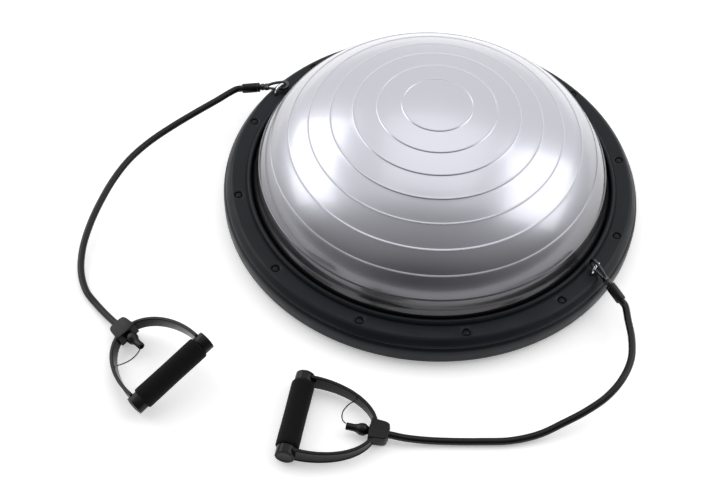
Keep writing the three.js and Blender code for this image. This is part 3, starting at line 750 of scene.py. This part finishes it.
def make_clip(side):
    place = clip_matrix(side)
    body = f"{side}_clip"
    points = [(-1.5, HOOK_BEND_RADIUS, 0), (-4.2, HOOK_BEND_RADIUS, 0)]
    bend = np.linspace(math.pi / 2, 1.5 * math.pi, 11)
    points += [(-7 + HOOK_BEND_RADIUS * math.cos(a), HOOK_BEND_RADIUS * math.sin(a), 0) for a in bend]
    points += [(-3, -HOOK_BEND_RADIUS, 0), (2, -6.8, 0), (11, -5.2, 0), (17, -2.8, 0)]
    hook = sweep(f"{side}_hook_detail", smooth_path(points, 0.8), circle(WIRE_RADIUS, 20), place)
    root = bevelled(box("root", (15, -4.4, -3.2), (21.5, 5.4, 3.2), place), 1.1, 3)
    combined(hook, root, "UNION")
    slot_half = GATE_HALF_THICKNESS + 0.3
    slot = box("slot", (14, 1, -slot_half), (19.6, 6, slot_half), place)
    bore = [(0, -5), (PIN_BORE, -5), (PIN_BORE, 5), (0, 5)]
    hole = lathe("pin_hole", bore, 24, place=place, centre=PIN_PLACE)
    combined(hook, slot, "DIFFERENCE")
    combined(hook, hole, "DIFFERENCE")
    finish(hook, "gunmetal", body, [f"{side}_hook"])
    outline = plate_outline(PIN_PLACE, GATE_TIP, 1.9, 1.2)
    gate = prism(f"{side}_hook_gate_detail", outline, -GATE_HALF_THICKNESS, GATE_HALF_THICKNESS, place)
    hole = lathe("gate_hole", bore, 24, place=place, centre=PIN_PLACE)
    combined(gate, hole, "DIFFERENCE")
    bevelled(gate, 0.35, 2, 50)
    finish(gate, "gunmetal", f"{side}_gate", [f"{side}_hook_gate"])
    pin_profile = softened([(0, -3.4), (PIN_RADIUS, -3.4), (PIN_RADIUS, 3.4), (0, 3.4)], 0.4)
    pin = lathe(f"{side}_gate_pin_detail", pin_profile, 24, place=place, centre=PIN_PLACE)
    finish(pin, "zinc_plate", body, [f"{side}_gate_pin"])
    collar_profile = softened([
        (0, 21.8), (4.5, 21.8), (5.3, 22.6), (5.3, 23.6), (4.9, 23.9), (4.9, 24.3), (5.3, 24.6),
        (5.3, 26.3), (4.3, 27.3), (4.3, 28.3), (0, 28.3),
    ], 0.3)
    collar = lathe(f"{side}_collar_detail", collar_profile, 48, "X", place)
    finish(collar, "gunmetal", body, [f"{side}_collar"])
    barrel_profile = softened([
        (0, BARREL_X), (6.1, BARREL_X), (7.3, BARREL_X + 1.2), (7.3, BARREL_X + 3.4), (6.9, BARREL_X + 3.8),
        (6.9, BARREL_X + 4.4), (7.3, BARREL_X + 4.8), (7.3, BARREL_END_X - 1), (6.5, BARREL_END_X),
        (5.6, BARREL_END_X), (5.6, BARREL_END_X - 6), (0, BARREL_END_X - 6),
    ], 0.6)
    barrel = lathe(f"{side}_barrel_detail", barrel_profile, 64, "X", place)
    finish(barrel, "barrel_plastic", body, [f"{side}_barrel"])


ARM_SPREAD = 58
ARM_START_X = 16
ARM_END_X = 107.5
ARM_THICKNESS = 5


def make_frame(side, place):
    """The handle's frame: two curved arms, a socket at each end and the hub."""
    reach = ARM_END_X - ARM_START_X
    path = [(9, -ARM_SPREAD, 0), (12, -ARM_SPREAD, 0)]
    for angle in np.linspace(-math.pi / 2, math.pi / 2, 61):
        path.append((ARM_START_X + reach * math.cos(angle), ARM_SPREAD * math.sin(angle), 0))
    path += [(12, ARM_SPREAD, 0), (9, ARM_SPREAD, 0)]
    heights = [12 - 4 * max(0.0, (x - ARM_START_X) / reach) for x, _, _ in path]

    def section(i):
        half, thick = heights[i], ARM_THICKNESS / 2
        outline = [
            (-thick, -half + 0.8), (-thick, half - 0.8), (-thick + 0.8, half), (thick - 0.8, half),
            (thick, half - 0.8), (thick, half - 2.2), (thick - 0.9, half - 3), (thick - 0.9, -half + 3),
            (thick, -half + 2.2), (thick, -half + 0.8), (thick - 0.8, -half), (-thick + 0.8, -half),
        ]
        return softened(outline, 0.35, 2, closed=True)

    body = sweep(f"{side}_handle_frame_detail", path, section, place)
    hub = [(HUB_INNER_X, -15.5), (118, -14), (122.4, -12.6), (124.6, -9.8), (125, -6), (125, 6), (124.6, 9.8),
           (122.4, 12.6), (118, 14), (HUB_INNER_X, 15.5)]
    combined(body, bevelled(prism("hub", hub, -9.5, 9.5, place), 1.4, 3), "UNION")
    barrel = softened([(0, 98.5), (9.6, 98.5), (9.6, 125.5), (0, 125.5)], 1.0)
    combined(body, lathe("hub_barrel", barrel, 48, "X", place), "UNION")
    bore = lathe("bore", [(0, 90), (5.5, 90), (5.5, 130), (0, 130)], 48, "X", place)
    for end in (1, -1):
        inner, outer = sorted((end * SOCKET_INNER_Y, end * SOCKET_OUTER_Y))
        socket = softened([(0, inner), (13.2, inner), (13.2, outer), (0, outer)], 0.9)
        combined(body, lathe("socket", socket, 64, "Y", place), "UNION")
    combined(body, bore, "DIFFERENCE")
    for end in (1, -1):
        near = end * (SOCKET_OUTER_Y - 3)
        low, high = sorted((near, end * 80))
        seat = lathe("cap_seat", [(0, low), (11, low), (11, high), (0, high)], 64, "Y", place)
        low, high = sorted((end * 45, end * 70))
        hole = lathe("core_hole", [(0, low), (7.4, low), (7.4, high), (0, high)], 48, "Y", place)
        combined(body, seat, "DIFFERENCE")
        combined(body, hole, "DIFFERENCE")
    finish(body, "handle_plastic", f"{side}_handle", [f"{side}_handle_frame"])


def make_handle(side):
    place = handle_matrix(side)
    body = f"{side}_handle"
    make_frame(side, place)
    for letter, end in (("a", 1), ("b", -1)):
        cap_profile = softened([
            (0, 62.8), (10.7, 62.8), (10.7, 65), (10.2, 65.9), (9.2, 65.9), (8.6, 65.2), (0, 65.2),
        ], 0.3)
        cap_profile = [(r, end * h) for r, h in cap_profile]
        cap = lathe(f"{side}_end_cap_{letter}_detail", cap_profile, 64, "Y", place)
        finish(cap, "handle_plastic", body, [f"{side}_end_cap_{letter}"])
    foam_end = [
        (GRIP_RADIUS, 46), (15.5, 49.2), (14.6, 50.6), (12.6, GRIP_HALF_LENGTH), (7.5, GRIP_HALF_LENGTH),
    ]
    foam_profile = [(r, -y) for r, y in reversed(foam_end)]
    foam_profile += [(GRIP_RADIUS - 0.25 * math.cos(math.pi * y / 92) ** 2, y) for y in range(-40, 41, 8)]
    foam_profile += foam_end
    sleeve = lathe(f"{side}_grip_foam_detail", foam_profile, 72, "Y", place)
    finish(sleeve, "foam", f"{side}_grip", [f"{side}_grip_foam"])
    bulge = HUB_INNER_X - 0.3
    ball_x = bulge - 8.5
    end_profile = softened([
        (0, bulge - 0.3), (5, bulge - 0.3), (6, bulge - 2.5), (8.3, ball_x + 2.8), (8.4, ball_x),
        (8.3, ball_x - 2.8), (5.7, ball_x - 8), (5, ball_x - 11), (5, TAIL_END_X), (2.6, TAIL_END_X),
        (2.6, ball_x - 8), (5.9, ball_x - 3.2), (5.9, ball_x + 3.2), (2.8, ball_x + 6), (0, ball_x + 6.1),
    ], 1.2, 4)
    tube_end = lathe(f"{side}_tube_end_detail", end_profile, 48, "X", place)
    finish(tube_end, "tube_rubber", body, [f"{side}_tube_end"])
    tether = sweep(f"{side}_tether_detail", smooth_path(TETHER_ROUTES[side], 0.8), circle(0.8, 12), place)
    finish(tether, "cord_fabric", body, [f"{side}_tether"])


def make_tube(side):
    clip, handle = clip_matrix(side), handle_matrix(side)
    points = [clip @ Vector((x, 0, 0)) for x in (BARREL_END_X - 5.7, BARREL_END_X, BARREL_END_X + 8)]
    points += [Vector(p) for p in TUBE_ROUTES[side]]
    points += [handle @ Vector((x, 0, 0)) for x in (HUB_OUTER_X + 22, HUB_OUTER_X, HUB_INNER_X - 0.3)]
    path = smooth_path([tuple(p) for p in points], 2.5)
    tube = sweep(f"{side}_tube_detail", path, circle(TUBE_RADIUS, 24))
    finish(tube, "tube_rubber", None, [f"{side}_tube"])
    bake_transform(tube)


for side, x in (("left", -FASTENER_CIRCLE), ("right", FASTENER_CIRCLE)):
    make_eye(side, x)
    make_clip(side)
    make_handle(side)
    make_tube(side)

# ------------------------------------------------------------------ CAD nodes that stay

slots = {entry["node"]: entry["material_slot"] for entry in frame["record"]["subparts"]}
for name, node in frame["nodes"].items():
    node.data.materials.clear()
    node.data.materials.append(MATERIALS[slots[name]])

# ------------------------------------------------------------------ floor, light

floor_material = Nodes("studio_floor", 0.8, 0.0, 0.2)
tone = floor_material.noise(1.5, 2)
floor_material.colour(floor_material.ramp(tone, [(0.3, (0.95, 0.95, 0.95)), (0.7, (0.97, 0.97, 0.97))]))
floor_material.set("Emission Color", (1, 1, 1, 1))
floor_material.set("Emission Strength", 0.34)
FLOOR_SIZE = 12
FLOOR_GAP = 0.0005
bpy.ops.mesh.primitive_plane_add(size=FLOOR_SIZE, location=(0, 0, -FLOOR_GAP))
floor = bpy.context.object
floor.name = "studio_floor"
floor.data.materials.append(floor_material.material)

# The room is bright overhead and behind, and dark on the side that the lower front of the dome mirrors.
DARK_SIDE = (0.57, -0.82, 0)
world = bpy.data.worlds.new("studio")
world.use_nodes = True
world_tree = world.node_tree
direction = world_tree.nodes.new("ShaderNodeTexCoord").outputs["Generated"]
facing = world_tree.nodes.new("ShaderNodeVectorMath")
facing.operation = "DOT_PRODUCT"
facing.inputs[1].default_value = DARK_SIDE
world_tree.links.new(direction, facing.inputs[0])
fade = world_tree.nodes.new("ShaderNodeValToRGB")
fade.color_ramp.interpolation = "EASE"
elements = fade.color_ramp.elements
elements[0].position, elements[0].color = 0.02, (0.92, 0.92, 0.92, 1)
elements[1].position, elements[1].color = 0.95, (0.04, 0.04, 0.04, 1)
for position, strength in ((0.28, 0.36), (0.62, 0.23)):
    elements.new(position).color = (strength, strength, strength, 1)
world_tree.links.new(facing.outputs["Value"], fade.inputs["Fac"])
world_tree.links.new(fade.outputs["Color"], world_tree.nodes["Background"].inputs["Strength"])
world_tree.nodes["Background"].inputs["Color"].default_value = (1, 1, 1, 1)
SCENE.world = world
SCENE.view_settings.view_transform = "Standard"


def area_light(name, place, target, size, power):
    data = bpy.data.lights.new(name, "AREA")
    data.shape = "RECTANGLE"
    data.size, data.size_y = size
    data.energy = power
    light = bpy.data.objects.new(name, data)
    SCENE.collection.objects.link(light)
    aim = (Vector(target) - Vector(place)).to_track_quat("-Z", "Y")
    light.matrix_world = Matrix.Translation(place) @ aim.to_matrix().to_4x4()


area_light("left_softbox", (-1.9, -0.5, 1.25), (0, -0.05, 0.1), (1.9, 1.3), 13)
area_light("right_softbox", (1.25, 1.1, 1.35), (0, -0.05, 0.1), (1.5, 1.5), 10)
area_light("top_softbox", (-0.3, 0.5, 2.4), (0, -0.1, 0), (1.8, 1.8), 5)
